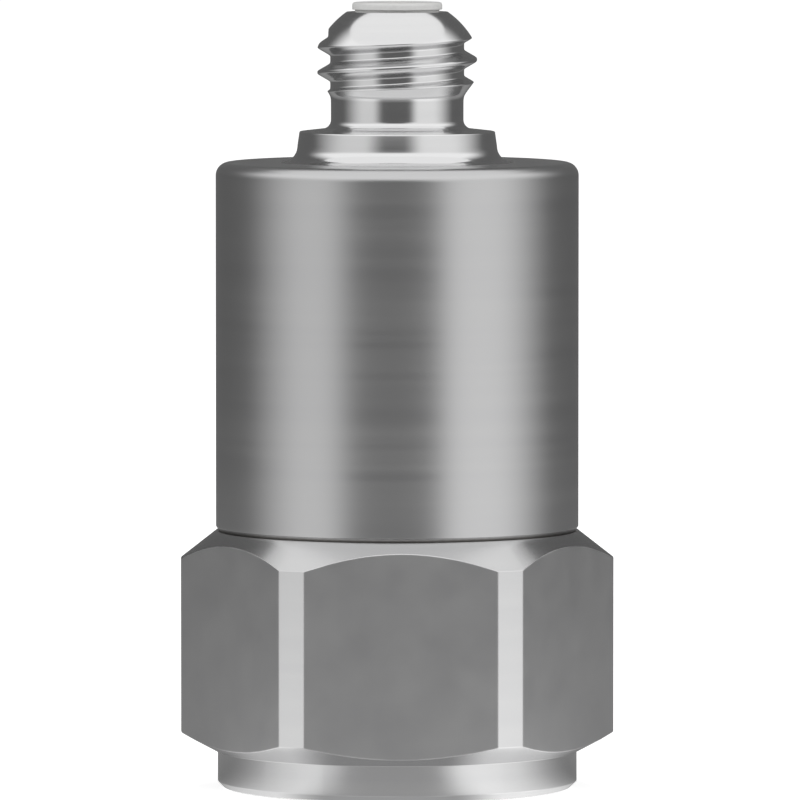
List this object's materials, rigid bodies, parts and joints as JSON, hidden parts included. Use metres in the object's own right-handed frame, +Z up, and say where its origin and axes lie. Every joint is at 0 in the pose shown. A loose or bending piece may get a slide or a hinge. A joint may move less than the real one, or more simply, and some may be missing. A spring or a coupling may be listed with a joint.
{
  "type": "vibration sensor",
  "caption": "Small stainless steel vibration sensor with a hexagonal base, a plain round can and a threaded coaxial connector on top.",
  "frame": {"origin": "on the axis at the mounting face, the middle of the underside", "axes": "+Z up along the sensor's axis towards the connector; -Y square to one flat of the hexagon; +X through a corner"},
  "size_m": [0.0134, 0.012, 0.0243],
  "materials": {
    "base_steel": "fine milled flats, turned chamfers, satin",
    "can_steel": "fine turned satin",
    "connector_steel": "bright turned",
    "fluoropolymer": "waxy white",
    "gold_plate": "gold plated",
    "seal_glass": "fused",
    "piezoceramic": "lapped, silvered faces",
    "heavy_metal": "sintered and ground",
    "ring_metal": "turned",
    "carrier_plastic": "machined",
    "screw_steel": "turned",
    "board_laminate": "solder mask",
    "chip_plastic": "moulded",
    "resistor_ceramic": "glazed",
    "capacitor_ceramic": "fired",
    "lead_copper": "rolled ribbon"
  },
  "bodies": {
    "root": {"base": "base_steel", "housing": "can_steel", "connector_shell": "connector_steel", "connector_insulator": "fluoropolymer", "centre_contact": "gold_plate", "glass_seal": "seal_glass", "piezo_crystal_a": "piezoceramic", "piezo_crystal_b": "piezoceramic", "piezo_crystal_c": "piezoceramic", "seismic_mass_a": "heavy_metal", "seismic_mass_b": "heavy_metal", "seismic_mass_c": "heavy_metal", "preload_ring": "ring_metal", "board_carrier": "carrier_plastic", "carrier_screw": "screw_steel", "circuit_board": "board_laminate", "amplifier_chip": "chip_plastic", "chip_resistors": "resistor_ceramic", "chip_capacitor": "capacitor_ceramic", "signal_lead": "lead_copper", "ground_lead": "lead_copper", "output_lead": "lead_copper"}
  },
  "joints": []
}
